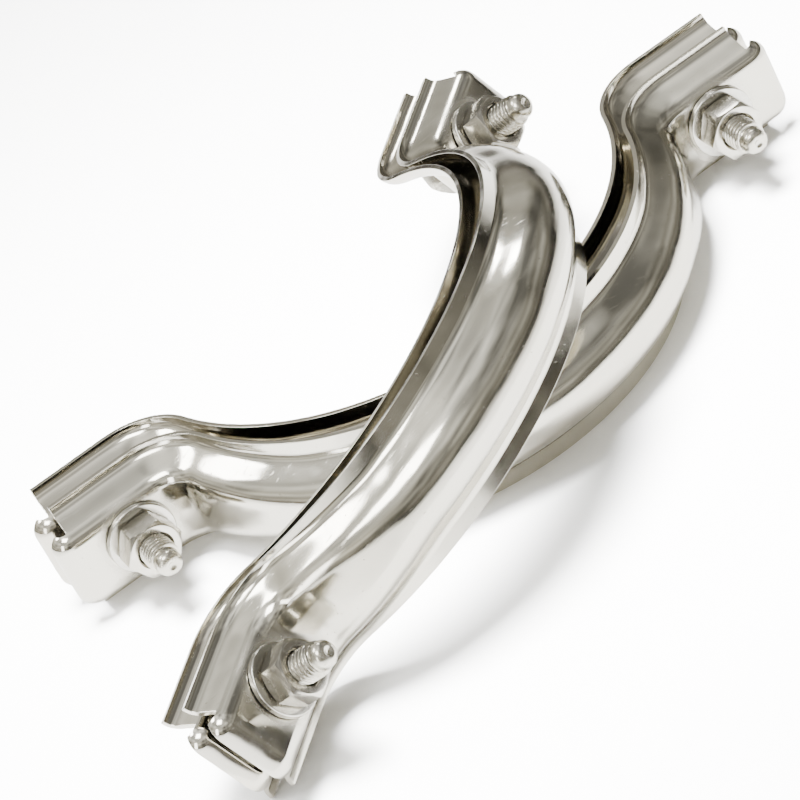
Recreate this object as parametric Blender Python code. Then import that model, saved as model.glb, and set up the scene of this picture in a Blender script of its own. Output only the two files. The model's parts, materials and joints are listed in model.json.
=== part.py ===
"""A pair of exhaust pipe clamps.  Each clamp is two pressed half rings, nested one behind
the other on two M8 bolts, with a flat washer and a hexagon nut at the front of each bolt.
The lower clamp lies on its rim on the ground and the upper one leans across it.

A clamp is drawn in its own frame: X along the line through its two bolts, Y along the
bolts towards the nuts, and Z along the axis of the pipe that it would hold.  Y = 0 is the
face of the outer half that the washers sit on.
"""
import math

import bmesh
import bpy
import numpy as np

MM = 0.001

# pressed half ring
CROWN_RADIUS = 74 * MM        # outside of the band, from the ring's centre
ARC_HALF_ANGLE = math.radians(74)
BEND_RADIUS = 8 * MM          # the reverse bend between the arc and a lug
CROWN_HEIGHT = 8.5 * MM       # crown above the rim
HALF_WIDTH = 15.3 * MM        # middle of the band to its rim
SHEET = 1.2 * MM
WALL_ANGLE = math.radians(57)         # of the section's walls along the arc
LUG_WALL_ANGLE = math.radians(66)     # and along a lug
RIM_FILLET = 2.5 * MM         # inside corner between wall and rim
DOME_RADIUS = 9 * MM          # crown of the section along the arc
LUG_CORNER_RADIUS = 4.2 * MM    # corner of the section along a lug
LUG_FLAT = 6.85 * MM          # half width of the lug's flat seat
BLEND_START = 0.72            # the dome flattens between these parts of CROWN_RADIUS
BLEND_END = 1.04

# lugs
BOLT_SPACING = 172 * MM
LUG_REACH = 14.5 * MM         # lug beyond its bolt, up to the rolled end
ROLL_RADIUS = 5 * MM
ROLL_ANGLE = math.radians(78)
HOLE_RADIUS = 4.5 * MM
HALF_OFFSETS = {"lower": 10.5 * MM, "upper": 8.0 * MM}   # inner half behind the outer half
HEAD_SEAT = -12.0 * MM        # underside of the bolts' heads, along the bolts

# M8 fasteners
THREAD_RADIUS = 4 * MM
ACROSS_FLATS = 13 * MM
HEAD_HEIGHT = 5.3 * MM
WASHER_RADIUS = 8.7 * MM
WASHER_THICKNESS = 1.6 * MM
NUT_HEIGHT = 6.8 * MM
BORE_RADIUS = 4.3 * MM        # of a nut and a washer
SHANK_LENGTH = 30 * MM        # under the head
DOG_RADIUS = 3.3 * MM
DOG_LENGTH = 3.6 * MM         # the reduced end of the thread
GAP = 0.3 * MM                # between pieces that touch

# flanks of the turned pieces
HOLE_CUTTER = 4 * MM          # half length of the tool that cuts a bolt hole
HEAD_CHAMFER = 0.6 * MM
NUT_CHAMFER = 0.8 * MM
FACE_STEP = 0.2 * MM          # a hexagon's face ends this far inside its flats
TIP_LENGTH = 1.2 * MM         # the rounded tip of a bolt
TIP_STEP = 1.0 * MM
DOME_FLAT = 0.4 * MM          # half width of the dome's top

# where the clamps lie
LOWER_PLACE = (5.131 * MM, 24.903 * MM, HALF_WIDTH)
LOWER_TURN = math.radians(180)
UPPER_TURN = math.radians(220)
UPPER_LEAN = math.radians(27)      # its arc rises away from the ground
UPPER_ROLL = math.radians(4.3)
UPPER_PLACE = (-20.449 * MM, -6.197 * MM, 28.346 * MM)

ARC_STEPS = 11
BEND_STEPS = 4
LUG_STEPS = 2
ROLL_STEPS = 3
CORNER_STEPS = 2
FILLET_STEPS = 1
ROUND_SIDES = 24


def make_material(name, colour, roughness, metallic=1.0):
    material = bpy.data.materials.new(name)
    material.use_nodes = True
    shader = material.node_tree.nodes["Principled BSDF"]
    shader.inputs["Base Color"].default_value = (*colour, 1.0)
    shader.inputs["Roughness"].default_value = roughness
    shader.inputs["Metallic"].default_value = metallic
    return material


def half_crown_line():
    """Crown line from the middle of the arc to the end of a lug: (x, y, fall of tangent)."""
    centre_y = BEND_RADIUS * (1 - math.cos(ARC_HALF_ANGLE)) - CROWN_RADIUS * math.cos(ARC_HALF_ANGLE)
    line = []
    for angle in np.linspace(0, ARC_HALF_ANGLE, ARC_STEPS + 1):
        line.append((CROWN_RADIUS * math.sin(angle), centre_y + CROWN_RADIUS * math.cos(angle), angle))
    bend_x = (CROWN_RADIUS + BEND_RADIUS) * math.sin(ARC_HALF_ANGLE)
    for angle in np.linspace(ARC_HALF_ANGLE, 0, BEND_STEPS + 1)[1:]:
        line.append((bend_x - BEND_RADIUS * math.sin(angle), BEND_RADIUS * (1 - math.cos(angle)), angle))
    lug_end = BOLT_SPACING / 2 + LUG_REACH
    for x in np.linspace(bend_x, lug_end, LUG_STEPS + 1)[1:]:
        line.append((x, 0.0, 0.0))
    for angle in np.linspace(0, ROLL_ANGLE, ROLL_STEPS + 1)[1:]:
        drop = ROLL_RADIUS * (1 - math.cos(angle))
        line.append((lug_end + ROLL_RADIUS * math.sin(angle), -drop, angle))
    return line


def half_section(flat, corner, slope):
    """Half of the band's section, from its middle: (distance across, height from the crown)."""
    turn = 1 - math.cos(slope)
    wall = (CROWN_HEIGHT - (corner + RIM_FILLET) * turn) / math.sin(slope)
    points = [(0.0, 0.0), (flat, 0.0)]
    for angle in np.linspace(0, slope, CORNER_STEPS + 1)[1:]:
        points.append((flat + corner * math.sin(angle), -corner * (1 - math.cos(angle))))
    across, height = points[-1]
    foot, foot_height = across + wall * math.cos(slope), height - wall * math.sin(slope)
    for angle in np.linspace(slope, 0, FILLET_STEPS + 1):
        points.append((foot + RIM_FILLET * (math.sin(slope) - math.sin(angle)),
                       foot_height - RIM_FILLET * (math.cos(angle) - math.cos(slope))))
    points.append((max(HALF_WIDTH, points[-1][0] + GAP), -CROWN_HEIGHT))
    return points


def outer_surface():
    """Grid of points of the band's outer face: rows along the crown line, columns across."""
    half = half_crown_line()
    line = [(-x, y, -fall) for x, y, fall in reversed(half[1:])] + half
    rows = []
    for x, y, fall in line:
        reach = (abs(x) / CROWN_RADIUS - BLEND_START) / (BLEND_END - BLEND_START)
        blend = min(max(reach, 0.0), 1.0)
        blend = blend * blend * (3 - 2 * blend)
        flat = DOME_FLAT + (LUG_FLAT - DOME_FLAT) * blend
        corner = DOME_RADIUS + (LUG_CORNER_RADIUS - DOME_RADIUS) * blend
        slope = WALL_ANGLE + (LUG_WALL_ANGLE - WALL_ANGLE) * blend
        section = half_section(flat, corner, slope)
        section = [(-across, height) for across, height in reversed(section[1:])] + section
        rows.append([(x + height * math.sin(fall), y + height * math.cos(fall), across)
                     for across, height in section])
    return np.array(rows)


def sheet_mesh(name, outer, keep):
    """Closed sheet of thickness SHEET under a grid; keep[i, j] says which cells exist."""
    along, across = np.gradient(outer, axis=0), np.gradient(outer, axis=1)
    normal = np.cross(across, along)
    normal /= np.linalg.norm(normal, axis=2, keepdims=True)
    inner = outer - normal * SHEET
    mesh = bmesh.new()
    vertices = {}

    def corner(side, i, j):
        if (side, i, j) not in vertices:
            vertices[side, i, j] = mesh.verts.new((outer, inner)[side][i, j])
        return vertices[side, i, j]

    def kept(i, j):
        return 0 <= i < keep.shape[0] and 0 <= j < keep.shape[1] and keep[i, j]

    for i, j in zip(*np.nonzero(keep)):
        ring = [(i, j), (i + 1, j), (i + 1, j + 1), (i, j + 1)]
        mesh.faces.new([corner(1, *place) for place in ring])
        mesh.faces.new([corner(0, *place) for place in reversed(ring)])
        beyond = [(i, j - 1), (i + 1, j), (i, j + 1), (i - 1, j)]
        for start, end, neighbour in zip(ring, ring[1:] + ring[:1], beyond):
            if not kept(*neighbour):
                mesh.faces.new([corner(0, *start), corner(0, *end), corner(1, *end), corner(1, *start)])
    bmesh.ops.recalc_face_normals(mesh, faces=mesh.faces)
    data = bpy.data.meshes.new(name)
    mesh.to_mesh(data)
    mesh.free()
    return data


def turned_mesh(name, rings, sides, bore=None):
    """Solid of stacked rings, each (radius or list of radii, height), closed at both ends.

    With a bore radius the ends are rings round a hole instead of discs."""
    mesh = bmesh.new()
    loops = []
    for radius, height in rings:
        radii = radius if isinstance(radius, list) else [radius] * sides
        loops.append([mesh.verts.new((radii[k] * math.cos(math.tau * k / sides),
                                      radii[k] * math.sin(math.tau * k / sides), height))
                      for k in range(sides)])
    if bore is None:
        mesh.faces.new(list(reversed(loops[0])))
        mesh.faces.new(loops[-1])
    else:
        for height in (rings[-1][1], rings[0][1]):
            loops.append([mesh.verts.new((bore * math.cos(math.tau * k / sides),
                                          bore * math.sin(math.tau * k / sides), height))
                          for k in range(sides)])
        loops.append(loops[0])
    for lower, upper in zip(loops, loops[1:]):
        for k in range(sides):
            after = (k + 1) % sides
            mesh.faces.new([lower[k], lower[after], upper[after], upper[k]])
    bmesh.ops.recalc_face_normals(mesh, faces=mesh.faces)
    data = bpy.data.meshes.new(name)
    mesh.to_mesh(data)
    mesh.free()
    return data


def hexagon(sides):
    """Radius of a hexagon, flats ACROSS_FLATS apart, in each of the given directions."""
    apothem = ACROSS_FLATS / 2
    turns = [math.tau * k / sides % (math.pi / 3) - math.pi / 6 for k in range(sides)]
    return [apothem / math.cos(turn) for turn in turns]


def bolt_mesh():
    dog_start = SHANK_LENGTH - DOG_LENGTH
    rings = [(ACROSS_FLATS / 2 - FACE_STEP, -HEAD_HEIGHT),
             (hexagon(ROUND_SIDES), -HEAD_HEIGHT + HEAD_CHAMFER), (hexagon(ROUND_SIDES), 0.0),
             (THREAD_RADIUS, 0.0), (THREAD_RADIUS, dog_start), (DOG_RADIUS, dog_start + HEAD_CHAMFER),
             (DOG_RADIUS, SHANK_LENGTH - TIP_LENGTH), (DOG_RADIUS - TIP_STEP, SHANK_LENGTH)]
    return turned_mesh("bolt", rings, ROUND_SIDES)


def washer_mesh():
    return turned_mesh("washer", [(WASHER_RADIUS, 0.0), (WASHER_RADIUS, WASHER_THICKNESS)],
                       ROUND_SIDES, BORE_RADIUS)


def nut_mesh():
    rings = [(ACROSS_FLATS / 2 - FACE_STEP, 0.0), (hexagon(ROUND_SIDES), NUT_CHAMFER),
             (hexagon(ROUND_SIDES), NUT_HEIGHT - NUT_CHAMFER), (ACROSS_FLATS / 2 - FACE_STEP, NUT_HEIGHT)]
    return turned_mesh("nut", rings, ROUND_SIDES, BORE_RADIUS)


def half_ring_mesh():
    """A pressed half with its rims cut back from the rolled lug ends."""
    outer = outer_surface()
    rows, columns = outer.shape[0] - 1, outer.shape[1] - 1
    keep = np.ones((rows, columns), bool)
    cut = FILLET_STEPS + 2        # the wall's, the fillet's and the rim's columns
    for end in (slice(0, ROLL_STEPS), slice(rows - ROLL_STEPS, rows)):
        keep[end, :cut] = False
        keep[end, columns - cut:] = False
    return sheet_mesh("half_ring", outer, keep)


def add_object(name, data, material, parent, place, turn=(0.0, 0.0, 0.0)):
    piece = bpy.data.objects.new(name, data)
    bpy.context.scene.collection.objects.link(piece)
    piece.data.materials.append(material)
    piece.parent = parent
    piece.location = place
    piece.rotation_euler = turn
    return piece


def add_holes(piece, name, parent, place):
    """Bolt holes through both lugs of a half ring."""
    for side, x in (("left", BOLT_SPACING / 2), ("right", -BOLT_SPACING / 2)):
        data = turned_mesh("hole", [(HOLE_RADIUS, -HOLE_CUTTER), (HOLE_RADIUS, HOLE_CUTTER)], ROUND_SIDES)
        cutter = bpy.data.objects.new(f"{name}_{side}_hole_cutter", data)
        bpy.context.scene.collection.objects.link(cutter)
        cutter.parent = parent
        cutter.location = (x, place[1], 0.0)
        cutter.rotation_euler = (-math.pi / 2, 0.0, 0.0)
        cutter.hide_render = True
        cutter.display_type = "WIRE"
        cut = piece.modifiers.new(f"{side}_hole", "BOOLEAN")
        cut.operation = "DIFFERENCE"
        cut.object = cutter


def smooth(data, angle):
    data.shade_smooth()
    data.set_sharp_from_angle(angle=math.radians(angle))


def build_clamp(name, meshes, materials, place, turn):
    """One clamp: its frame is an empty, and its bolts point along the empty's Y axis."""
    frame = bpy.data.objects.new(f"{name}_clamp", None)
    bpy.context.scene.collection.objects.link(frame)
    frame.location = place
    frame.rotation_mode = "YXZ"
    frame.rotation_euler = turn
    for half, y in (("outer", 0.0), ("inner", -HALF_OFFSETS[name])):
        label = f"{name}_{half}_half"
        piece = add_object(label, meshes["half"].copy(), materials["band"], frame, (0.0, y, 0.0))
        add_holes(piece, label, frame, (0.0, y, 0.0))
    along_y = (-math.pi / 2, 0.0, 0.0)
    for side, x in (("left", BOLT_SPACING / 2), ("right", -BOLT_SPACING / 2)):
        for part, y in (("bolt", HEAD_SEAT), ("washer", GAP), ("nut", 2 * GAP + WASHER_THICKNESS)):
            add_object(f"{name}_{side}_{part}", meshes[part], materials[part], frame, (x, y, 0.0), along_y)
    return frame


def main():
    for item in list(bpy.data.objects):
        bpy.data.objects.remove(item, do_unlink=True)
    meshes = {"half": half_ring_mesh(), "bolt": bolt_mesh(), "washer": washer_mesh(), "nut": nut_mesh()}
    smooth(meshes["half"], 50)
    for part in ("bolt", "washer", "nut"):
        smooth(meshes[part], 25)
    materials = {"band": make_material("mirror_stainless", (0.62, 0.61, 0.58), 0.08),
                 "bolt": make_material("zinc_bolt_steel", (0.60, 0.58, 0.53), 0.28),
                 "washer": make_material("zinc_washer_steel", (0.58, 0.57, 0.54), 0.25),
                 "nut": make_material("zinc_nut_steel", (0.63, 0.61, 0.57), 0.22)}
    build_clamp("lower", meshes, materials, LOWER_PLACE, (0.0, 0.0, LOWER_TURN))
    build_clamp("upper", meshes, materials, UPPER_PLACE, (UPPER_LEAN, UPPER_ROLL, UPPER_TURN))


main()
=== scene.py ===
# %% [markdown]
# # A pair of exhaust pipe clamps
# Each clamp is two pressed half rings of mirror-bright sheet steel, nested one behind the other
# on two M8 bolts.  The packed CAD model says where every piece is.  This lesson gives each piece
# the fine surface that a pressing, a rolled thread or a hexagon nut has, and then its finish.
# The frame comes first, because every length and place below is taken from it.

# %% Load the frame
import json
import math

import bpy
import numpy as np
from mathutils import Matrix, Vector


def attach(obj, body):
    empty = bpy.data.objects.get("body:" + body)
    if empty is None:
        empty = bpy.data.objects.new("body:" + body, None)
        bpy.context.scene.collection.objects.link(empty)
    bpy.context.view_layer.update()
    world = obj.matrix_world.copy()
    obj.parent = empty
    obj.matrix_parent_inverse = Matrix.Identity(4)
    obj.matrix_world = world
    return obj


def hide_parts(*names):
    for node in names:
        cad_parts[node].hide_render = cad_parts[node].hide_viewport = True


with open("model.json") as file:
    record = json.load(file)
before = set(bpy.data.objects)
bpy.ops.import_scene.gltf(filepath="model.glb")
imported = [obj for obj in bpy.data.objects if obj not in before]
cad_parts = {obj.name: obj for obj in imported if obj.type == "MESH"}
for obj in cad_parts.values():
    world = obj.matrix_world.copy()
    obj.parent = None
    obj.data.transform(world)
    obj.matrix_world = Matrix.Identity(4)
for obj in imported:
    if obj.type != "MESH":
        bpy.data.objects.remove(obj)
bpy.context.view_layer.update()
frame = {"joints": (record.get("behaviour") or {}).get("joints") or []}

MM = 0.001
CLAMPS = ("lower", "upper")
SIDES = {"left": 1, "right": -1}
JOINTS = {joint["name"]: joint for joint in frame["joints"]}

# %% [markdown]
# ## A frame for each clamp
# Both clamps are the same thing in two places, so it pays to draw a clamp once, in its own
# frame, and to carry the points over.  The nuts' joints give that frame: X runs from the right
# bolt to the left one, Y along the bolts, and Z along the pipe.  Y = 0 is the face that the
# washers sit on.

# %% The clamp's own frame
SEAT_TO_JOINT = 2.2 * MM      # from the washers' seat to the foot of a nut


def clamp_frame(clamp):
    """Axes as columns, origin, and bolt spacing.

    The axes are the unit vector between the two nut joints, the joints' own axis, and the cross
    product of both.  The origin is half way between the joints, less SEAT_TO_JOINT."""
    left, right = (np.array(JOINTS[f"{clamp}_{side}_nut_turn"]["pos_m"]) for side in SIDES)
    along_bolt = np.array(JOINTS[f"{clamp}_left_nut_turn"]["axis"])
    along_bolt = along_bolt / np.linalg.norm(along_bolt)
    spacing = np.linalg.norm(left - right)
    between = (left - right) / spacing
    axes = np.column_stack([between, along_bolt, np.cross(between, along_bolt)])
    return axes, (left + right) / 2 - along_bolt * SEAT_TO_JOINT, spacing


def to_world(points, clamp):
    """World point = origin + axes times the point in the clamp's frame."""
    axes, origin, _ = FRAMES[clamp]
    return points @ axes.T + origin


FRAMES = {clamp: clamp_frame(clamp) for clamp in CLAMPS}
BOLT_SPACING = FRAMES["lower"][2]
print("bolt spacing", round(BOLT_SPACING / MM, 2), "mm")

# %% [markdown]
# ## Meshes from arrays
# A surface here is a grid of points, and all its faces follow from the grid's size.  Editing
# primitives by hand would work too, but arrays keep every dimension in one formula.  So two
# helpers do all the work: one turns arrays into a mesh object, and one makes the quads of a
# grid.  A UV map in metres goes with each surface, so that a finish can follow the metal.

# %% Mesh helpers
def make_piece(name, points, faces, uv, sharp_angle):
    """Mesh object from an array of points and a list of faces; uv holds one pair per point."""
    mesh = bpy.data.meshes.new(name)
    mesh.from_pydata(points.tolist(), [], faces)
    layer = mesh.uv_layers.new(name="along_metal")
    corner_vertex = np.empty(len(mesh.loops), np.int32)
    mesh.loops.foreach_get("vertex_index", corner_vertex)
    layer.data.foreach_set("uv", uv[corner_vertex].astype(np.float32).ravel())
    mesh.validate()
    mesh.shade_smooth()
    mesh.set_sharp_from_angle(angle=math.radians(sharp_angle))
    piece = bpy.data.objects.new(name, mesh)
    bpy.context.scene.collection.objects.link(piece)
    return piece


def grid_quads(rows, columns, wrap=False):
    """Quads of a grid of points, numbered row by row; wrap joins the last column to the first."""
    row, column = np.meshgrid(np.arange(rows - 1), np.arange(columns if wrap else columns - 1),
                              indexing="ij")
    after = (column + 1) % columns
    return np.stack([row * columns + column, row * columns + after,
                     (row + 1) * columns + after, (row + 1) * columns + column], -1).reshape(-1, 4)


def smoothstep(value):
    """0 below 0, 1 above 1, and value squared times (3 - 2 value) between."""
    value = np.clip(value, 0, 1)
    return value * value * (3 - 2 * value)


print("a grid of 3 by 4 points has", len(grid_quads(3, 4)), "quads, or",
      len(grid_quads(3, 4, wrap=True)), "when it wraps")

# %% [markdown]
# ## The pressed half ring
# The real part is one strip of sheet steel, pressed into a ring whose section is a dome with a
# rim on each side.  Towards a bolt the dome flattens into a channel with a flat seat, and the
# seat's end is rolled back.  It could be modelled as a cage under a subdivision surface, but a
# mirror finish shows every uneven quad.  A swept section is surer: one line says how the crown
# runs, one section says what lies across it, and both are formulas, so the mesh can be as fine
# as the finish needs.  A mirror shows sudden changes of curvature as well, so the crown line's
# direction is averaged over a short window.

# %% The crown line
CROWN_RADIUS = 74 * MM
ARC_HALF_ANGLE = math.radians(74)
BEND_RADIUS = 8 * MM
LUG_REACH = 14.5 * MM         # from a bolt to the start of the roll
ROLL_RADIUS = 5 * MM
ROLL_ANGLE = math.radians(78)
EASING = 2.4 * MM             # window of the average
AVERAGE_STEPS = 8001          # points of the average's integral
LINE_STEPS = 6001             # points of the sums along the line
LEVEL_SHARE = 0.6             # share of the seat's length at which the line is at height zero
ROW_COUNTS = (52, 34, 22, 5)  # rows on the arc, round the bend, on the seat, just before the roll
ROLL_ROWS = 15
BEFORE_BEND = 4 * MM          # where the bend's finer rows start
PAST_BEND = 2 * MM            # where they end
BEFORE_ROLL = 2 * MM


def crown_knots():
    """Distances along the line at which arc, reverse bend, seat and roll end."""
    seat = BOLT_SPACING / 2 + LUG_REACH - (CROWN_RADIUS + BEND_RADIUS) * math.sin(ARC_HALF_ANGLE)
    return np.cumsum([0, CROWN_RADIUS * ARC_HALF_ANGLE, BEND_RADIUS * ARC_HALF_ANGLE, seat,
                      ROLL_RADIUS * ROLL_ANGLE])


def eased_fall(knots, distance):
    """Angle by which the crown line's tangent has fallen at each distance.

    It grows evenly along the arc, drops back to zero along the reverse bend, stays zero along
    the seat and grows again round the roll.  Its running average over EASING is the difference
    of its integral at the window's two ends."""
    padded = np.linspace(-EASING, knots[-1] + EASING, AVERAGE_STEPS)
    fall = np.interp(padded, knots, [0, ARC_HALF_ANGLE, 0, 0, ROLL_ANGLE])
    fall = np.where(padded < 0, padded / CROWN_RADIUS, fall)
    fall = np.where(padded > knots[-1], ROLL_ANGLE + (padded - knots[-1]) / ROLL_RADIUS, fall)
    step = padded[1] - padded[0]
    total = np.concatenate([[0], np.cumsum((fall[1:] + fall[:-1]) * step / 2)])
    ahead = np.interp(distance + EASING / 2, padded, total)
    behind = np.interp(distance - EASING / 2, padded, total)
    return (ahead - behind) / EASING


def crown_line():
    """Half the crown line, from the middle of the arc to the end of a lug, as the distance of
    each row and its x, y and fall.

    x and y are the sums of the cosine and minus the sine of the fall, and y is shifted so that
    the seat is at zero."""
    knots = crown_knots()
    fine = np.linspace(0, knots[-1], LINE_STEPS)
    fall = eased_fall(knots, fine)
    step = fine[1] - fine[0]
    middle = (fall[1:] + fall[:-1]) / 2
    x = np.concatenate([[0], np.cumsum(np.cos(middle)) * step])
    y = np.concatenate([[0], -np.cumsum(np.sin(middle)) * step])
    y = y - np.interp(knots[2] + (knots[3] - knots[2]) * LEVEL_SHARE, fine, y)
    stops = (0, knots[1] - BEFORE_BEND, knots[2] + PAST_BEND, knots[3] - BEFORE_ROLL, knots[3])
    rows = [np.linspace(start, end, count, endpoint=False)
            for start, end, count in zip(stops, stops[1:], ROW_COUNTS)]
    rows = np.concatenate(rows + [np.linspace(knots[3], knots[4], ROLL_ROWS)])
    return rows, np.stack([np.interp(rows, fine, values) for values in (x, y, fall)], -1)


ROWS, LINE = crown_line()
ROLL_ROW = sum(ROW_COUNTS)    # first row of the roll
print("crown line:", round(ROWS[-1] / MM, 1), "mm from the middle to a lug's end,", len(ROWS), "rows")

# %% [markdown]
# Across the band, the section is a flat, a rounded corner, a sloping wall, an inside fillet and
# a rim.  On the arc the flat is almost nothing and the corner's radius is large, so flat and
# corners read as one dome.  On the seat it is the other way round.  Two sections could be lofted
# into each other, but blending the flat, the corner and the slope along the band turns the one
# into the other without a seam.

# %% The section
CROWN_HEIGHT = 8.5 * MM
HALF_WIDTH = 15.3 * MM
SHEET = 1.2 * MM
WALL_ANGLE, LUG_WALL_ANGLE = math.radians(57), math.radians(66)
RIM_FILLET = 2.5 * MM
LEAST_RIM = 0.25 * MM
DOME_RADIUS, LUG_CORNER_RADIUS = 9 * MM, 4.2 * MM
DOME_FLAT, LUG_FLAT = 0.4 * MM, 6.85 * MM
BLEND_START, BLEND_END = 0.72, 1.04       # of the crown radius, along X
STRETCHES = (4, 13, 5, 8, 1)      # columns of flat, corner, wall, fillet and rim
FINER = 4                         # steps of the sum to each column
SOFTNESS = 2.6 * MM               # window of the average across the band


def ramp_area(distance, start, length):
    """Integral of a ramp that rises from 0 to 1 between start and start + length."""
    reach = np.clip((distance - start) / length, 0, None)
    return length * np.where(reach < 1, reach * reach / 2, reach - 0.5)


def eased_slope(distance, knots, corner, slope):
    """Slope at each distance across the band: it rises evenly round the corner, stays along
    the wall and falls back to zero round the fillet, averaged over SOFTNESS and mirrored at
    the middle."""
    def climbed(edge):
        rise = ramp_area(edge, knots[:, 1, None], corner * slope)
        return rise - ramp_area(edge, knots[:, 3, None], RIM_FILLET * slope)

    ahead, behind = distance + SOFTNESS / 2, np.abs(distance - SOFTNESS / 2)
    return slope * (climbed(ahead) - climbed(behind)) / SOFTNESS


def half_section(flat, corner, slope):
    """(across, height) for each row.

    Across is the sum of the cosine of the eased slope, and height minus the sum of its sine.
    The wall's length follows from CROWN_HEIGHT, and a last stretch of about one part in a
    hundred makes both sums exact."""
    flat, corner, slope = flat[:, None], corner[:, None], slope[:, None]
    wall = (CROWN_HEIGHT - (corner + RIM_FILLET) * (1 - np.cos(slope))) / np.sin(slope)
    foot = flat + (corner + RIM_FILLET) * np.sin(slope) + wall * np.cos(slope)
    rim = np.maximum(HALF_WIDTH - foot, LEAST_RIM)
    zero = np.zeros_like(flat)
    knots = np.cumsum(np.hstack([zero, flat, corner * slope, wall, RIM_FILLET * slope, rim]), 1)
    distance = []
    for k, count in enumerate(STRETCHES):
        share = np.arange(count * FINER) / (count * FINER)
        distance.append(knots[:, k, None] + (knots[:, k + 1, None] - knots[:, k, None]) * share)
    distance = np.hstack(distance + [knots[:, -1:]])
    eased = eased_slope(distance, knots, corner, slope)
    move, middle = np.diff(distance), (eased[:, 1:] + eased[:, :-1]) / 2
    across = np.hstack([zero, np.cumsum(np.cos(middle) * move, 1)])[:, ::FINER]
    height = np.hstack([zero, np.cumsum(np.sin(middle) * move, 1)])[:, ::FINER]
    return across * (foot + rim) / across[:, -1:], -height * CROWN_HEIGHT / height[:, -1:]


def band_surface():
    """Outer face of a half ring, and its UV map.

    A point is the crown line's point + height along the line's normal + across along Z.  The
    UV pair is the length along the band and the girth across it."""
    line = np.concatenate([LINE[:0:-1] * (-1, 1, -1), LINE])
    rows = np.concatenate([-ROWS[:0:-1], ROWS])
    reach = np.abs(line[:, 0]) / CROWN_RADIUS
    blend = smoothstep((reach - BLEND_START) / (BLEND_END - BLEND_START))
    across, height = half_section(DOME_FLAT + (LUG_FLAT - DOME_FLAT) * blend,
                                  DOME_RADIUS + (LUG_CORNER_RADIUS - DOME_RADIUS) * blend,
                                  WALL_ANGLE + (LUG_WALL_ANGLE - WALL_ANGLE) * blend)
    across = np.hstack([-across[:, :0:-1], across])
    height = np.hstack([height[:, :0:-1], height])
    x, y, fall = (line[:, k, None] for k in range(3))
    surface = np.stack([x + height * np.sin(fall), y + height * np.cos(fall), across], -1)
    length = np.broadcast_to(rows[:, None], across.shape)
    steps = np.hypot(np.diff(across), np.diff(height))
    girth = np.cumsum(np.hstack([np.zeros((len(rows), 1)), steps]), 1)
    return surface, np.stack([length, girth], -1)


BAND, BAND_UV = band_surface()
print("band surface:", BAND.shape[0], "by", BAND.shape[1], "points")

# %% [markdown]
# Sheet metal has two faces and an edge.  A Solidify modifier would add them, but it can't cut
# the rims back from the rolled ends.  So the inner face is the outer one moved inwards along
# its normals by the sheet's thickness, a mask over the grid's cells says where there is metal,
# and a wall of quads closes the boundary.

# %% Give the band its thickness
def band_keep():
    """True for each cell of the grid that is metal: beside a roll only the seat's width is."""
    keep = np.ones((BAND.shape[0] - 1, BAND.shape[1] - 1), bool)
    beyond = len(ROWS) - 1 - ROLL_ROW
    beside = sum(STRETCHES[2:])       # the wall's, the fillet's and the rim's columns
    for rolled in (keep[:beyond], keep[-beyond:]):
        rolled[:, :beside] = False
        rolled[:, -beside:] = False
    return keep


def sheet_from_grid(outer, uv, keep, thickness):
    """Points, quads and UV pairs of the closed sheet.

    The normal is the cross product of the grid's two gradients.  A cell's side gets an edge
    wall where the cell beyond it is missing."""
    along, across = np.gradient(outer, axis=0), np.gradient(outer, axis=1)
    normal = np.cross(across, along)
    normal /= np.linalg.norm(normal, axis=2, keepdims=True)
    inner = outer - normal * thickness
    rows, columns = outer.shape[:2]
    index = np.arange(rows * columns).reshape(rows, columns)
    corners = np.stack([index[:-1, :-1], index[:-1, 1:], index[1:, 1:], index[1:, :-1]], -1)
    faces = [corners[keep], corners[keep][:, ::-1] + rows * columns]
    solid = np.pad(keep, 1)
    missing = [~solid[:-2, 1:-1], ~solid[1:-1, 2:], ~solid[2:, 1:-1], ~solid[1:-1, :-2]]
    for side, gone in enumerate(missing):
        edge = corners[keep & gone][:, [side, (side + 1) % 4]]
        faces.append(np.stack([edge[:, 1], edge[:, 0], edge[:, 0] + rows * columns,
                               edge[:, 1] + rows * columns], -1))
    quads = np.concatenate(faces)
    used, quads = np.unique(quads, return_inverse=True)
    points = np.concatenate([outer.reshape(-1, 3), inner.reshape(-1, 3)])[used]
    return points, quads.reshape(-1, 4).tolist(), np.concatenate([uv.reshape(-1, 2)] * 2)[used]


SHEET_POINTS, SHEET_FACES, SHEET_UV = sheet_from_grid(BAND, BAND_UV, band_keep(), SHEET)
print("half ring:", len(SHEET_POINTS), "points,", len(SHEET_FACES), "quads")

# %% [markdown]
# ## Turned and hexagonal pieces
# Bolts, washers and nuts are all stacks of rings round one axis.  Blender's Screw modifier
# turns a plain profile, but it can't make a hexagon.  Here a ring's radius may change with the
# angle, which makes a hexagon, and its height may change too, which makes the curved edge where
# a hexagon's chamfer meets its flats.  So one function builds them all from a list of rings.

# %% Rings round an axis
ROUND = 96                    # points round each ring, so that a hexagon's corners fall on some
ANGLES = np.linspace(0, math.tau, ROUND, endpoint=False)
ACROSS_FLATS = 13 * MM
CORNER_SHARPNESS = 60         # power of the smooth maximum
TURNED_SHARP_ANGLE = 30


def hexagon_radius():
    """Apothem over a smooth maximum of the cosines towards the six flats, which rounds the
    corners a little."""
    flats = np.arange(6) * math.pi / 3 + math.pi / 6
    cosines = np.maximum(np.cos(ANGLES[:, None] - flats), 0)
    return ACROSS_FLATS / 2 / (cosines ** CORNER_SHARPNESS).sum(1) ** (1 / CORNER_SHARPNESS)


def ring_points(rings):
    """Array of rings by points by coordinates: (radius cos, radius sin, height)."""
    radius = np.stack([np.broadcast_to(np.asarray(ring[0], float), ROUND) for ring in rings])
    height = np.stack([np.broadcast_to(np.asarray(ring[1], float), ROUND) for ring in rings])
    return np.stack([radius * np.cos(ANGLES), radius * np.sin(ANGLES), height], -1)


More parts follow.
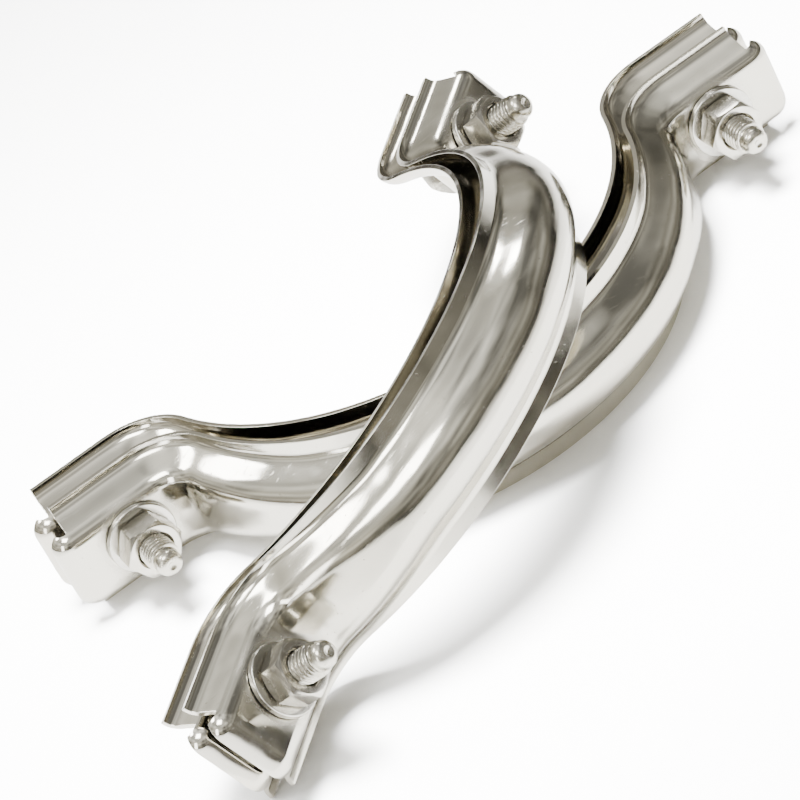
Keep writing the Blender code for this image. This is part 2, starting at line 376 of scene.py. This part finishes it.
def along_bolts(points):
    """Lays a turned piece's own axis, Z, along the clamp's Y: (x, y, z) goes to (x, z, -y)."""
    return points.reshape(-1, 3)[:, [0, 2, 1]] * (1, 1, -1)


def capped_tube(count):
    """Quads between count rings, and a disc on each end."""
    first = list(range(ROUND - 1, -1, -1))
    last = list(range((count - 1) * ROUND, count * ROUND))
    return grid_quads(count, ROUND, wrap=True).tolist() + [first, last]


def turned_piece(name, rings, bored, place, clamp):
    """Solid of rings: a bored one closes on its first ring, and a solid one on two small discs.
    Its UV pair is the way round at the flats' radius and the length of the profile."""
    grid = ring_points(rings)
    profile = np.stack([np.hypot(grid[..., 0], grid[..., 1]).mean(1), grid[..., 2].mean(1)], -1)
    length = np.concatenate([[0], np.cumsum(np.linalg.norm(np.diff(profile, axis=0), axis=1))])
    uv = np.stack(np.meshgrid(ANGLES * ACROSS_FLATS / 2, length), -1).reshape(-1, 2)
    if bored:
        quads = grid_quads(len(rings) + 1, ROUND, wrap=True) % (len(rings) * ROUND)
        faces = quads.tolist()
    else:
        faces = capped_tube(len(rings))
    points = to_world(along_bolts(grid) + np.array(place), clamp)
    return make_piece(name, points, faces, uv, TURNED_SHARP_ANGLE)


def rounded_corner(radius, height, size, start, steps):
    """Quarter circle of rings round (radius, height), whose angle grows from start."""
    return [(radius + size * math.cos(angle), height + size * math.sin(angle))
            for angle in np.linspace(start, start + math.pi / 2, steps)]


def chamfer_height(chamfer_radius):
    """A cone of 30 degrees through the face at chamfer_radius meets the hexagon lower down at
    its corners than on its flats, by the tangent of the angle times the radius."""
    return (HEXAGON - chamfer_radius) * math.tan(math.radians(30))


HEXAGON = hexagon_radius()
print("hexagon:", round(2 * HEXAGON.min() / MM, 2), "mm across flats,",
      round(2 * HEXAGON.max() / MM, 2), "mm across corners")

# %% [markdown]
# ## The bolt
# The head is a hexagon with a shallow dish in its free face and a turned chamfer.  The dish and
# the chamfer could be cut with tools, but as rings they cost nothing.

# %% The bolt's head
HEAD_HEIGHT = 5.3 * MM
HEAD_CHAMFER_RADIUS = 6.15 * MM
HEAD_FACE_RADIUS = 5.2 * MM   # round the shank, under the head
DISH_RADII = (0.3 * MM, 4.9 * MM)
DISH_LIP = 5.5 * MM
DISH_DEPTH = 0.25 * MM
BREAK = 0.12 * MM             # rounding of a machined edge
THREAD_RADIUS = 4 * MM


def head_rings():
    """Hexagon head from its free face (below zero) to its seat at zero.  Its chamfer falls
    along the cone, and its flats are rounded a little where they meet the seat."""
    drop = chamfer_height(HEAD_CHAMFER_RADIUS)
    side = HEAD_HEIGHT - drop - 0.3 * MM
    rings = [(radius, DISH_DEPTH - HEAD_HEIGHT) for radius in np.linspace(*DISH_RADII, 6)]
    rings += [(DISH_LIP - 0.3 * MM, DISH_DEPTH / 5 - HEAD_HEIGHT), (DISH_LIP, -HEAD_HEIGHT)]
    rings += [(HEAD_CHAMFER_RADIUS - BREAK, -HEAD_HEIGHT),
              (HEAD_CHAMFER_RADIUS + BREAK / 2, BREAK / 3 - HEAD_HEIGHT)]
    rings += [(HEAD_CHAMFER_RADIUS + (HEXAGON - HEAD_CHAMFER_RADIUS) * part,
               drop * part - HEAD_HEIGHT) for part in (0.35, 0.7, 0.92)]
    rings += [(HEXAGON - BREAK / 4, drop - HEAD_HEIGHT), (HEXAGON, drop + BREAK - HEAD_HEIGHT)]
    rings += [(HEXAGON, drop + side * part - HEAD_HEIGHT) for part in (0.5, 1.0)]
    rings += [(HEXAGON - 0.08 * MM, -0.1 * MM), (HEXAGON - 0.25 * MM, 0.0)]
    return rings + [(HEAD_FACE_RADIUS, 0.0), (THREAD_RADIUS + 0.1 * MM, 0.0)]


print("bolt head of", len(head_rings()), "rings,", round(HEAD_HEIGHT / MM, 1), "mm high")

# %% [markdown]
# A rolled M8 thread is a helix.  A swept profile would need a cut at each end.  As a height map
# on a cylinder it needs none, because its radius depends only on how far the height, counted in
# pitches, runs ahead of the angle.  Fourteen rows to a pitch are enough to show every crest.

# %% The bolt's thread
PITCH = 1.25 * MM
THREAD_DEPTH = 0.62 * MM
ROWS_PER_PITCH = 14
CREST, FLANKS = 0.1, 0.8      # shares of half a pitch: flat crest, and crest to root
FADE = 1.6 * MM               # over which the thread runs out at each end
START_DEPTH, END_DEPTH = 0.05, 0.5        # shares of the depth left at the two ends
END_TAPER = 0.15 * MM


def thread_rings(start, end):
    """Rings whose radius falls by a rounded V: the depth times the triangle wave of
    (height over pitch - turn), softened at root and crest."""
    height = np.linspace(start, end, int((end - start) / PITCH * ROWS_PER_PITCH))[:, None]
    phase = (height / PITCH - ANGLES / math.tau) % 1
    groove = smoothstep((np.abs(2 * phase - 1) - CREST) / FLANKS)
    run_in = (height - start) / FADE + START_DEPTH
    run_out = (end - height) / FADE + END_DEPTH
    depth = THREAD_DEPTH * np.minimum(1, np.minimum(run_in, run_out))
    taper = END_TAPER * smoothstep(1 - (end - height) / FADE)
    return list(zip(THREAD_RADIUS - taper - depth * groove, height[:, 0]))


print("thread of", ROWS_PER_PITCH, "rows to a pitch of", round(PITCH / MM, 2), "mm")

# %% [markdown]
# The end of the bolt is a plain dog point: a reduced land, rounded over by a large radius and
# slightly hollow where the bar was cut off.  Its rings follow on from the thread's.

# %% The bolt's end
SHANK_LENGTH = 30 * MM
THREAD_START = 0.8 * MM
DOG_START = 26.5 * MM
DOG_RADIUS = 3.2 * MM
DOG_ROUNDING = 1.9 * MM
HOLLOW = ((1.1, 0.05), (0.8, 0.25), (0.5, 0.4), (0.05, 0.45))     # radius and depth in mm


def dog_rings():
    """The reduced end: a step in, a short land, a large rounding, a shallow centre mark."""
    land_end = SHANK_LENGTH - DOG_ROUNDING
    rings = [(DOG_RADIUS + 0.1 * MM, DOG_START), (DOG_RADIUS, DOG_START + 0.25 * MM)]
    rings += [(DOG_RADIUS, height) for height in np.linspace(DOG_START + 0.4 * MM, land_end, 4)]
    rings += rounded_corner(DOG_RADIUS - DOG_ROUNDING, land_end, DOG_ROUNDING, 0, 10)
    return rings + [(radius * MM, SHANK_LENGTH - depth * MM) for radius, depth in HOLLOW]


def bolt_rings():
    """Head, a plain neck, thread and dog point, one after the other."""
    neck = [(THREAD_RADIUS, 0.15 * MM), (THREAD_RADIUS, 0.6 * MM)]
    return head_rings() + neck + thread_rings(THREAD_START, DOG_START - 0.1 * MM) + dog_rings()


print("bolt of", len(bolt_rings()), "rings")

# %% [markdown]
# ## The washer
# A washer is punched from sheet, so its upper edges are rolled over and its lower ones have a
# small burr.  A bevel would round all four alike, so the rings draw them one by one.

# %% The washer
WASHER_INNER, WASHER_OUTER, WASHER_THICKNESS = 4.3 * MM, 8.7 * MM, 1.6 * MM
WASHER_EDGE = 0.35 * MM       # radius of the rolled-over edges


def washer_rings():
    """Closed loop of rings: lower face with burrs, outside, rolled-over upper edges, bore."""
    top = WASHER_THICKNESS
    rings = [(WASHER_INNER, BREAK), (WASHER_INNER + BREAK, 0.0), (6 * MM, 0.0),
             (WASHER_OUTER - BREAK, 0.0), (WASHER_OUTER, BREAK), (WASHER_OUTER, top / 2)]
    rings += rounded_corner(WASHER_OUTER - WASHER_EDGE, top - WASHER_EDGE, WASHER_EDGE, 0, 6)
    rings += [(7 * MM, top), (5.5 * MM, top)]
    rings += rounded_corner(WASHER_INNER + WASHER_EDGE, top - WASHER_EDGE, WASHER_EDGE,
                            math.pi / 2, 6)
    return rings + [(WASHER_INNER, top / 2)]


print("washer of", len(washer_rings()), "rings")

# %% [markdown]
# ## The nut
# Both ends of a nut are the same: a countersunk bore, a flat face, and a cone of 30 degrees that
# leaves the round arcs seen on every hexagon nut.  So the lower end is drawn and mirrored.

# %% The nut
NUT_HEIGHT = 6.8 * MM
NUT_BORE = 4.32 * MM
NUT_CHAMFER_RADIUS = 6.2 * MM
COUNTERSINK = 4.75 * MM
COUNTERSINK_DEPTH = 0.43 * MM


def nut_rings():
    """Closed loop of rings: countersink, lower face, cone, flats, and the same mirrored in half
    the nut's height, then the bore."""
    drop = chamfer_height(NUT_CHAMFER_RADIUS)
    start = NUT_CHAMFER_RADIUS + BREAK / 2
    cone = [(start + (HEXAGON - start) * part, drop * part + BREAK / 4)
            for part in (0.0, 0.3, 0.65, 0.92)]
    lower = [(COUNTERSINK, 0.0), (COUNTERSINK + BREAK, 0.0), (NUT_CHAMFER_RADIUS - BREAK, 0.0)]
    lower += cone + [(HEXAGON - BREAK / 4, drop), (HEXAGON, drop + BREAK)]
    upper = [(radius, NUT_HEIGHT - height) for radius, height in reversed(lower)]
    bore = [(NUT_BORE, NUT_HEIGHT - COUNTERSINK_DEPTH), (NUT_BORE, NUT_HEIGHT / 2),
            (NUT_BORE, COUNTERSINK_DEPTH)]
    return lower + [(HEXAGON, NUT_HEIGHT / 2)] + upper + bore


print("nut of", len(nut_rings()), "rings")

# %% [markdown]
# ## The half rings, deburred and drilled
# The bolt holes are cut with a round tool that is thrown away afterwards.  They could be left
# out of the grid, but a grid's holes are square.  Before the cut, a narrow bevel rounds the
# sheet's outline, as deburring does.  Weighted normals keep the large faces even beside it.

# %% Half rings
HALF_OFFSETS = {"lower": 10.5 * MM, "upper": 8.0 * MM}    # back half behind the front half
HOLE_RADIUS = 4.5 * MM
HOLE_TOOL = 4 * MM            # half length of the tool that cuts a hole
EDGE_ROUND = 0.18 * MM
DEBURRED_ANGLE = 60           # edges sharper than this are rounded
SHEET_SHARP_ANGLE = 40


def bolt_hole_tool(clamp, behind):
    """Both hole cutters of a half ring as one mesh: a cylinder through each lug."""
    tube = along_bolts(ring_points([(HOLE_RADIUS, -HOLE_TOOL), (HOLE_RADIUS, HOLE_TOOL)]))
    points = np.concatenate([tube + (sign * BOLT_SPACING / 2, -behind, 0)
                             for sign in SIDES.values()])
    faces = capped_tube(2)
    faces += [[index + len(tube) for index in face] for face in faces]
    return make_piece("hole_tool", to_world(points, clamp), faces, points[:, :2], TURNED_SHARP_ANGLE)


def half_ring(name, clamp, behind):
    """Half ring, moved back along the bolts by behind: its outline deburred, then its two bolt
    holes cut, and the modifiers' result kept as its mesh."""
    points = to_world(SHEET_POINTS - (0, behind, 0), clamp)
    piece = make_piece(name, points, SHEET_FACES, SHEET_UV, SHEET_SHARP_ANGLE)
    tool = bolt_hole_tool(clamp, behind)
    edge = piece.modifiers.new("deburred_edge", "BEVEL")
    edge.width = EDGE_ROUND
    edge.segments = 3
    edge.limit_method = "ANGLE"
    edge.angle_limit = math.radians(DEBURRED_ANGLE)
    cut = piece.modifiers.new("bolt_holes", "BOOLEAN")
    cut.operation = "DIFFERENCE"
    cut.solver = "EXACT"
    cut.object = tool
    weighted = piece.modifiers.new("even_shading", "WEIGHTED_NORMAL")
    weighted.keep_sharp = True
    graph = bpy.context.evaluated_depsgraph_get()
    kept = bpy.data.meshes.new_from_object(piece.evaluated_get(graph), depsgraph=graph)
    piece.modifiers.clear()
    piece.data = kept
    bpy.data.objects.remove(tool, do_unlink=True)
    return piece


for clamp, offset in HALF_OFFSETS.items():
    print(f"the {clamp} clamp's back half stands {offset / MM:.1f} mm behind its front half")

# %% [markdown]
# ## The sixteen pieces
# Each piece takes the name of what it is, rides the body that its CAD node belongs to, and
# stands in for that node.  The two clamps are made by one function, because they are the same
# parts in two places.

# %% Build every piece
HEAD_SEAT = -12.0 * MM        # of a bolt's head, along the bolt
WASHER_SEAT = 0.3 * MM
FASTENERS = {                 # label, rings, bored, seat along the bolt
    "bolt": ("hex_bolt", bolt_rings(), False, HEAD_SEAT),
    "washer": ("flat_washer", washer_rings(), True, WASHER_SEAT),
    "nut": ("hex_nut", nut_rings(), True, SEAT_TO_JOINT),
}


def clamp_pieces(clamp):
    """Each piece of a clamp and the body that it rides on, by the CAD node it stands for."""
    pieces = {}
    for half, label, behind in (("outer", "front", 0.0), ("inner", "back", HALF_OFFSETS[clamp])):
        ring = half_ring(f"{clamp}_{label}_half_ring", clamp, behind)
        pieces[f"{clamp}_{half}_half"] = (ring, f"{clamp}_{half}")
    for side, sign in SIDES.items():
        bodies = {"bolt": f"{clamp}_inner", "washer": f"{clamp}_outer", "nut": f"{clamp}_{side}_nut"}
        for part, (label, rings, bored, seat) in FASTENERS.items():
            place = (sign * BOLT_SPACING / 2, seat, 0)
            piece = turned_piece(f"{clamp}_{side}_{label}", rings, bored, place, clamp)
            pieces[f"{clamp}_{side}_{part}"] = (piece, bodies[part])
    return pieces


PIECES = {}
for clamp in CLAMPS:
    PIECES.update(clamp_pieces(clamp))
for node, (piece, body) in PIECES.items():
    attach(piece, body)
    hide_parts(node)
    print(f"{piece.name}: {len(piece.data.polygons)} faces, rides {body}")

# %% [markdown]
# ## A little arithmetic for materials
# A finish is mostly sums and products of noise, which is long-winded as a list of nodes and
# links.  Wrapping a socket in a class whose operators add Math nodes lets a finish be written
# as the formula that it is.

# %% Sockets with operators
class Value:
    """A number that varies over a surface: operators on it add Math nodes."""

    def __init__(self, graph, socket):
        self.graph = graph
        self.socket = socket

    def math(self, operation, *values):
        """The Math node that does an operation on these values."""
        node = self.graph.node("ShaderNodeMath", {"operation": operation}, dict(enumerate(values)))
        return Value(self.graph, node.outputs[0])

    def __add__(self, other):
        return self.math("ADD", self, other)

    def __radd__(self, other):
        return self.math("ADD", other, self)

    def __sub__(self, other):
        return self.math("SUBTRACT", self, other)

    def __rsub__(self, other):
        return self.math("SUBTRACT", other, self)

    def __mul__(self, other):
        return self.math("MULTIPLY", self, other)

    def __rmul__(self, other):
        return self.math("MULTIPLY", other, self)

    def __pow__(self, other):
        return self.math("POWER", self, other)

    def __rpow__(self, other):
        return self.math("POWER", other, self)

    def __abs__(self):
        return self.math("ABSOLUTE", self)

    def ranged(self, start, end, low=0.0, high=1.0, step="LINEAR"):
        """low up to start and high from end on, with a straight or a smooth step between."""
        node = self.graph.node("ShaderNodeMapRange", {"interpolation_type": step},
                               {"Value": self, "From Min": start, "From Max": end,
                                "To Min": low, "To Max": high})
        return Value(self.graph, node.outputs[0])

    def above(self, start, end):
        """0 below start and 1 above end, with a smooth step between."""
        return self.ranged(start, end, step="SMOOTHSTEP")


print("reflected operators:", ", ".join(name for name in vars(Value) if name.startswith("__r")))

# %% [markdown]
# Every other node comes from one method, which takes its kind, its settings, and the values or
# links of its sockets.  Materials and the sky share it.

# %% A graph of nodes
def shade(red, green, blue):
    """Opaque colour."""
    return (red, green, blue, 1.0)


class Graph:
    """The nodes of a new material or world."""

    def __init__(self, block):
        self.block = block
        block.use_nodes = True
        self.tree = block.node_tree

    def node(self, kind, settings=None, values=None):
        """A node of a kind, with settings by attribute, and values or links by socket.  The
        stops of a ramp are pairs of place and colour."""
        node = self.tree.nodes.new(kind)
        for name, setting in (settings or {}).items():
            if name == "stops":
                self.place_stops(node.color_ramp.elements, setting)
            else:
                setattr(node, name, setting)
        for socket, value in (values or {}).items():
            self.plug(value, node.inputs[socket])
        return node

    def place_stops(self, elements, stops):
        """A new ramp has two stops, which become the first and the last."""
        elements[0].position = stops[0][0]
        elements[1].position = stops[-1][0]
        for place, _ in stops[1:-1]:
            elements.new(place)
        for element, (_, colour) in zip(elements, stops):
            element.color = shade(*colour)

    def plug(self, value, socket):
        """Links a value to a socket, or sets the socket to a plain number or colour."""
        if isinstance(value, Value):
            value = value.socket
        if isinstance(value, bpy.types.NodeSocket):
            self.tree.links.new(value, socket)
        else:
            socket.default_value = value

    def coordinates(self, kind):
        """Texture coordinates of a kind, such as Object."""
        return self.node("ShaderNodeTexCoord").outputs[kind]

    def metal(self):
        """The UV map that follows the metal."""
        return self.node("ShaderNodeUVMap", {"uv_map": "along_metal"}).outputs["UV"]

    def scaled(self, coordinates, factors):
        """A vector times a factor for each axis."""
        return self.node("ShaderNodeVectorMath", {"operation": "MULTIPLY"},
                         {0: coordinates, 1: factors}).outputs[0]

    def noise(self, coordinates, scale, detail=3.0, roughness=0.5):
        """Fractal noise about 0.5; scale is in patches per unit of the coordinates."""
        node = self.node("ShaderNodeTexNoise", None, {"Vector": coordinates, "Scale": scale,
                                                      "Detail": detail, "Roughness": roughness})
        return Value(self, node.outputs["Fac"])

    def parts(self, coordinates):
        """The three numbers of a vector."""
        node = self.node("ShaderNodeSeparateXYZ", None, {0: coordinates})
        return [Value(self, socket) for socket in node.outputs]

    def mix(self, factor, first, second):
        """Colour between two colours."""
        node = self.node("ShaderNodeMix", {"data_type": "RGBA"}, {0: factor, 6: first, 7: second})
        return node.outputs[2]

    def bump(self, height, distance, normal=None):
        """Tilts the normal as if the surface rose by height times distance (metres)."""
        values = {"Height": height, "Distance": distance, "Strength": 1.0}
        if normal is not None:
            values["Normal"] = normal
        return self.node("ShaderNodeBump", None, values).outputs[0]

    def feed(self, shader, **values):
        """Plugs values into the sockets of a shader, and hands back the material or world."""
        for name, value in values.items():
            self.plug(value, self.tree.nodes[shader].inputs[name.replace("_", " ")])
        return self.block


print("helpers:", ", ".join(name for name in vars(Graph) if not name.startswith("__")))

# %% [markdown]
# ## Finishes
# The half rings are stainless sheet, pressed and then buffed.  One roughness for all of it would
# look like chrome plating.  Buffing leaves a mirror with very fine lines along the band and a
# faint waviness from the press.  Handling adds smudges and a few scratches, and a washer scuffs
# a ring round its bolt.

# %% Buffed stainless steel
BOLT_LENGTH = float(np.interp(BOLT_SPACING / 2, LINE[:, 0], ROWS))
SEAT_ROW = len(ROWS) - 1 + ROLL_ROW - 8       # a row of the band on the seat
LUG_GIRTH = float(BAND_UV[SEAT_ROW, BAND.shape[1] // 2, 1])
SCUFF_STARTS = (8.5 * MM, 9.2 * MM)           # from the bolt's middle
SCUFF_ENDS = (9.5 * MM, 12.5 * MM)
# Reach of the painted shade round each bolt
BOLT_SHADE_REACH = 14 * MM
STAIN = (0.30, 0.27, 0.22)
# Colour of the painted shade round each bolt
BOLT_SHADE_COLOUR = (0.30, 0.28, 0.235)


def buffed_stainless(name, warmth):
    """Colour is clean steel, mixed with stains by specks and smudges, and darkened round the bolt as
    painted shade.  Roughness is a sum of patches, smudges, lines, scratches, scuffs and specks.  The
    distance from the bolt is the root of the squares of length and girth from its middle."""
    graph = Graph(bpy.data.materials.new(name))
    place, metal = graph.coordinates("Object"), graph.metal()
    length, girth, _ = graph.parts(metal)
    patches = graph.noise(place, 28.0, 4.0)
    smudges = graph.noise(place, 75.0, 5.0, 0.6).above(0.48, 0.72)
    fine_lines = graph.noise(graph.scaled(metal, (60.0, 6000.0, 1.0)), 1.0, 3.0, 0.6)
    scratches = graph.noise(graph.scaled(place, (90.0, 1400.0, 700.0)), 1.0, 2.0).above(0.66, 0.72)
    specks = graph.noise(place, 900.0, 2.0).above(0.70, 0.76)
    from_bolt = ((abs(length) - BOLT_LENGTH) ** 2.0 + (girth - LUG_GIRTH) ** 2.0) ** 0.5
    scuffed = from_bolt.above(*SCUFF_STARTS) * (1.0 - from_bolt.above(*SCUFF_ENDS))
    # Painted shade: a mask that is 1 at the bolt and fades to 0 at the reach given above
    painted_bolt_shade = 1.0 - from_bolt.above(0.0, BOLT_SHADE_REACH)
    clean = graph.mix(patches, shade(0.57, 0.555, 0.505), shade(0.45 + warmth, 0.43, 0.36 - warmth))
    stained = graph.mix(specks * 0.55 + smudges * 0.10, clean, shade(*STAIN))
    # Painted shade: the steel is darkened by up to a quarter towards the shade colour near the bolt
    colour = graph.mix(painted_bolt_shade * 0.25, stained, shade(*BOLT_SHADE_COLOUR))
    roughness = (0.06 + 0.06 * patches + 0.08 * smudges + 0.06 * fine_lines + 0.10 * scratches
                 + 0.16 * scuffed + 0.15 * specks)
    wavy = graph.bump(graph.noise(place, 60.0, 1.5), 0.45 * MM)
    lined = graph.bump(fine_lines, 0.0016 * MM, wavy)
    scored = graph.bump(1.0 - scratches, 0.004 * MM, lined)
    return graph.feed("Principled BSDF", Base_Color=colour, Metallic=1.0, Roughness=roughness,
                      Normal=scored)


print("bolt", round(BOLT_LENGTH / MM, 1), "mm along the band and", round(LUG_GIRTH / MM, 1),
      "mm across it from the rim")

# %% [markdown]
# The fasteners are plain zinc-plated steel: duller, a touch warmer, and marked by the tools
# that made them.  Their UV map runs round the axis one way and along the profile the other, so
# noise stretched round the axis gives turning marks on every face.

# %% Plated steel
DIRT = (0.24, 0.20, 0.15)


def plated_steel(name, bright, dull, base_roughness, marks):
    """Colour goes from bright to dull in blotches, and to dirt in spots.  The bumps are blotches,
    turning marks as deep as marks says, and nicks."""
    graph = Graph(bpy.data.materials.new(name))
    place, metal = graph.coordinates("Object"), graph.metal()
    turning = graph.noise(graph.scaled(metal, (25.0, 9000.0, 1.0)), 1.0, 3.0, 0.65)
    blotches = graph.noise(place, 260.0, 5.0, 0.6)
    dirt = graph.noise(place, 620.0, 4.0, 0.65).above(0.55, 0.75)
    nicks = graph.noise(graph.scaled(place, (500.0, 900.0, 1500.0)), 1.0, 2.0).above(0.68, 0.74)
    plating = graph.mix(blotches.above(0.3, 0.7), shade(*bright), shade(*dull))
    colour = graph.mix(dirt * 0.35, plating, shade(*DIRT))
    roughness = base_roughness + 0.08 * blotches + 0.08 * turning + 0.12 * dirt - 0.04 * nicks
    dimpled = graph.bump(blotches, 0.003 * MM)
    turned = graph.bump(turning, marks, dimpled)
    nicked = graph.bump(1.0 - nicks, 0.004 * MM, turned)
    return graph.feed("Principled BSDF", Base_Color=colour, Metallic=1.0, Roughness=roughness,
                      Normal=nicked)


FINISHES = {                  # each part's slot and its material
    "outer_half": ("pressed_band", buffed_stainless("buffed stainless, front halves", 0.005)),
    "inner_half": ("pressed_band", buffed_stainless("buffed stainless, back halves", 0.02)),
    "bolt": ("bolt_steel", plated_steel("plated bolt steel", (0.52, 0.50, 0.44),
                                        (0.39, 0.37, 0.31), 0.17, 0.001 * MM)),
    "washer": ("washer_steel", plated_steel("plated washer steel", (0.50, 0.49, 0.45),
                                            (0.39, 0.375, 0.335), 0.15, 0.001 * MM)),
    "nut": ("nut_steel", plated_steel("plated nut steel", (0.55, 0.53, 0.48),
                                      (0.42, 0.40, 0.345), 0.11, 0.0006 * MM)),
}
for node, (piece, _) in PIECES.items():
    slot, finish = next(FINISHES[part] for part in FINISHES if node.endswith(part))
    piece.data.materials.clear()
    piece.data.materials.append(finish)
print(len(FINISHES), "finishes on", len(PIECES), "pieces")

# %% [markdown]
# ## Floor
# A mirror shows its surroundings more than itself, so the studio matters as much as the metal.
# The floor is a wide sheet of pale paper.  A curved backdrop would hide the horizon, but the
# metal wants to reflect one.

# %% Floor
FLOOR_SIZE = 3.0


def pale_floor():
    """Square at height zero, with faint tones and fibres."""
    points = np.array([(-1, -1, 0), (1, -1, 0), (1, 1, 0), (-1, 1, 0)]) * (FLOOR_SIZE / 2)
    floor = make_piece("floor", points, [[0, 1, 2, 3]], points[:, :2], TURNED_SHARP_ANGLE)
    graph = Graph(bpy.data.materials.new("pale paper"))
    place = graph.coordinates("Object")
    fibre = graph.noise(place, 400.0, 4.0)
    tone = graph.mix(graph.noise(place, 3.0, 2.0), shade(0.90, 0.90, 0.895), shade(0.93, 0.93, 0.93))
    paper = graph.feed("Principled BSDF", Base_Color=tone, Roughness=0.82 + 0.1 * fibre,
                       Normal=graph.bump(fibre, 0.02 * MM))
    floor.data.materials.append(paper)
    return floor


pale_floor()
print("floor", FLOOR_SIZE, "m wide")

# %% [markdown]
# ## Sky
# A picture of a real room would be the usual surroundings for a mirror.  Bands of light and dark
# by height do the same with a formula.  The sky falls to a warm dark band at the horizon, and
# the bands above it draw the dark streaks along the bright domes.  A slow noise stands for the
# uneven walls of a room, and one side is brighter, as from a window.

# %% Sky
SKY_BANDS = ((0.0, (0.30, 0.29, 0.26)), (0.495, (0.22, 0.21, 0.18)), (0.505, (0.03, 0.026, 0.02)),
             (0.53, (0.22, 0.20, 0.165)), (0.575, (0.50, 0.48, 0.42)), (0.62, (0.30, 0.285, 0.235)),
             (0.68, (0.80, 0.78, 0.70)), (0.74, (0.42, 0.405, 0.35)), (0.84, (0.95, 0.935, 0.87)),
             (0.90, (0.62, 0.61, 0.56)), (1.0, (1.35, 1.34, 1.28)))     # 0 is down and 1 is up
WINDOW_SIDE = (-0.93, 0.10, 0.35)
WINDOW_LIGHT = (0.45, 1.75)   # factor away from the window, and towards it
WALL_PATCHES = 2.2
WALL_NOISE = (0.36, 0.64)
WALL_LIGHT = (0.35, 1.65)     # factor at the two ends of WALL_NOISE


def studio_sky():
    """Colour by direction: the bands by height, times the walls' noise, times a factor that
    grows with the dot product of the direction and the window's side."""
    graph = Graph(bpy.data.worlds.new("studio"))
    direction = graph.coordinates("Generated")
    height = graph.parts(direction)[2].ranged(-1.0, 1.0)
    bands = graph.node("ShaderNodeValToRGB", {"stops": SKY_BANDS}, {"Fac": height})
    walls = graph.noise(direction, WALL_PATCHES, 2.0).ranged(*WALL_NOISE, *WALL_LIGHT)
    towards = graph.node("ShaderNodeVectorMath", {"operation": "DOT_PRODUCT"},
                         {0: direction, 1: WINDOW_SIDE}).outputs["Value"]
    window = Value(graph, towards).ranged(-1.0, 1.0, *WINDOW_LIGHT)
    colour = graph.scaled(bands.outputs["Color"], window * walls)
    return graph.feed("Background", Color=colour, Strength=1.0)


bpy.context.scene.world = studio_sky()
print("sky of", len(SKY_BANDS), "bands")

# %% [markdown]
# ## Lamps
# Four softboxes stand round the clamps, because each bright patch on polished metal is the image
# of a lamp: a round or bare lamp would leave hard dots.  A fifth lamp only whitens the floor, and
# no mirror shows it.

# %% Lamps
CENTRE = (0.0, 0.0, 0.03)
SOFTBOXES = {                 # place, size and power
    "key": ((-0.45, -0.40, 1.15), (0.55, 0.45), 16.0),
    "back": ((-0.75, 0.62, 1.20), (0.50, 0.35), 14.0),
    "side": ((-1.15, -0.65, 0.40), (0.30, 0.70), 7.0),
    "small": ((0.50, 0.80, 0.98), (0.25, 0.15), 4.0),
    "floor_wash": ((0.0, 0.0, 1.0), (0.4, 0.4), 15.0),
}
WASH_SPREAD = 50


def softbox(name, place, size, power):
    """Rectangular lamp at place, facing the clamps."""
    light = bpy.data.lights.new(name, "AREA")
    light.shape = "RECTANGLE"
    light.size, light.size_y = size
    light.energy = power
    lamp = bpy.data.objects.new(name, light)
    lamp.location = place
    lamp.rotation_euler = (Vector(CENTRE) - Vector(place)).to_track_quat("-Z", "Y").to_euler()
    bpy.context.scene.collection.objects.link(lamp)
    return lamp


LAMPS = {name: softbox(name, *facts) for name, facts in SOFTBOXES.items()}
LAMPS["floor_wash"].data.spread = math.radians(WASH_SPREAD)
LAMPS["floor_wash"].visible_glossy = False
print("lamps:", ", ".join(LAMPS))

# %% [markdown]
# ## Camera
# A long lens from some way off keeps the near lug and the far one at nearly the same scale, as in
# a catalogue picture.  Its axes are given as two unit vectors, which leaves no doubt about its
# roll, where a target to look at would.

# %% Camera
CAMERA_PLACE = (-0.20065, -0.79423, 0.56362)
CAMERA_RIGHT = (0.79691, -0.45566, -0.39663)
CAMERA_UP = (0.57422, 0.36741, 0.73163)
LENS = 191.64                 # millimetres, on a sensor that is SENSOR wide
SENSOR = 36.0


def studio_camera():
    """Camera whose axes are the columns of its matrix: right, up, and away from the scene."""
    data = bpy.data.cameras.new("camera")
    data.lens = LENS
    data.sensor_width = SENSOR
    camera = bpy.data.objects.new("camera", data)
    right, up = Vector(CAMERA_RIGHT), Vector(CAMERA_UP)
    turn = Matrix((right, up, right.cross(up))).transposed().to_4x4()
    camera.matrix_world = Matrix.Translation(CAMERA_PLACE) @ turn
    bpy.context.scene.collection.objects.link(camera)
    return camera


bpy.context.scene.camera = studio_camera()
print("camera", round((Vector(CAMERA_PLACE) - Vector(CENTRE)).length, 3), "m away")

# %% [markdown]
# ## Close the lesson
# The finished pieces are built to stay inside the box that the CAD model filled.
